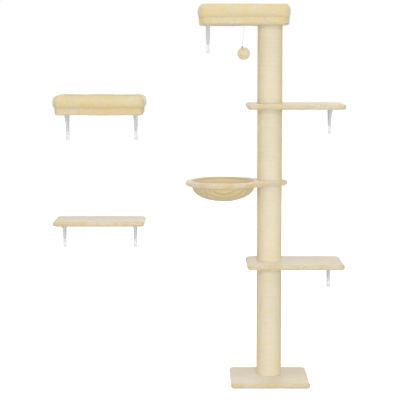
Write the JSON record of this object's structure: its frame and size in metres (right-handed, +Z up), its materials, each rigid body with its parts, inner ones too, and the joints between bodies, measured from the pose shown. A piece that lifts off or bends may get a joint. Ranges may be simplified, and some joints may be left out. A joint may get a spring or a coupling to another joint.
{
  "type": "wall mounted cat tree",
  "caption": "Wall mounted cat tree: sisal post on a plush base carrying shelves, a hammock, a top bed and a hanging ball, beside bracketed wall shelves.",
  "frame": {"origin": "on the post's axis, on the floor under the base", "axes": "+Z up along the post, +X to the right as seen from the front, +Y towards the wall, so the front faces -Y"},
  "size_m": [1.387, 0.362, 1.807],
  "materials": {
    "short_plush": "short cream pile over board, soft and matt",
    "bed_plush": "short cream pile over stuffing, soft and matt",
    "bowl_plush": "cream pile quilted in parallel channels, a little more golden",
    "ball_plush": "cream pile over a light ball",
    "sisal_rope": "twisted natural sisal, dry and fibrous",
    "particle_board": "raw particle board",
    "turned_wood": "raw turned softwood",
    "card_tube": "wound grey-brown cardboard",
    "foam": "pale open-cell foam",
    "white_steel": "pale grey-white powder coat on pressed steel",
    "zinc_steel": "bright zinc-plated steel",
    "white_string": "thin white twisted cord",
    "dark_crimp": "dark olive moulded clip"
  },
  "bodies": {
    "cat_tree": {"base_board": "particle_board", "base_bolt": "zinc_steel", "base_cover": "short_plush", "base_washer": "zinc_steel", "bed_shelf_board": "particle_board", "bed_shelf_bolster": "bed_plush", "bed_shelf_bracket_left": "white_steel", "bed_shelf_bracket_right": "white_steel", "bed_shelf_cover": "short_plush", "bed_shelf_cushion": "bed_plush", "bed_shelf_foam": "foam", "bed_shelf_screws": "zinc_steel", "hammock_board": "particle_board", "hammock_bowl": "bowl_plush", "hammock_cover": "short_plush", "joining_studs": "zinc_steel", "lower_shelf_board": "particle_board", "lower_shelf_bracket": "white_steel", "lower_shelf_cover": "short_plush", "lower_shelf_screws": "zinc_steel", "perch_board": "particle_board", "perch_bolster": "bed_plush", "perch_bolt": "zinc_steel", "perch_bracket": "white_steel", "perch_cover": "short_plush", "perch_cushion": "bed_plush", "perch_foam": "foam", "perch_screws": "zinc_steel", "perch_washer": "zinc_steel", "plain_shelf_board": "particle_board", "plain_shelf_bracket_left": "white_steel", "plain_shelf_bracket_right": "white_steel", "plain_shelf_cover": "short_plush", "plain_shelf_screws": "zinc_steel", "post_1_plugs": "turned_wood", "post_1_sisal": "sisal_rope", "post_1_tube": "card_tube", "post_2_plugs": "turned_wood", "post_2_sisal": "sisal_rope", "post_2_tube": "card_tube", "post_3_plugs": "turned_wood", "post_3_sisal": "sisal_rope", "post_3_tube": "card_tube", "post_4_plugs": "turned_wood", "post_4_sisal": "sisal_rope", "post_4_tube": "card_tube", "threaded_inserts": "zinc_steel", "toy_eye": "zinc_steel", "upper_shelf_board": "particle_board", "upper_shelf_bracket": "white_steel", "upper_shelf_cover": "short_plush", "upper_shelf_screws": "zinc_steel"},
    "string_loop": {"toy_loop": "white_string"},
    "hanging_ball": {"toy_string": "white_string", "toy_crimp": "dark_crimp", "toy_ball": "ball_plush"}
  },
  "joints": [
    {"name": "ball_swing_out", "type": "hinge", "parent": "cat_tree", "child": "string_loop", "pos_m": [-0.128, -0.1, 1.6971], "axis": [1, 0, 0], "range_deg": [-50, 40]},
    {"name": "ball_swing_across", "type": "hinge", "parent": "string_loop", "child": "hanging_ball", "pos_m": [-0.128, -0.1, 1.6914], "axis": [0, 1, 0], "range_deg": [-15, 50]}
  ]
}
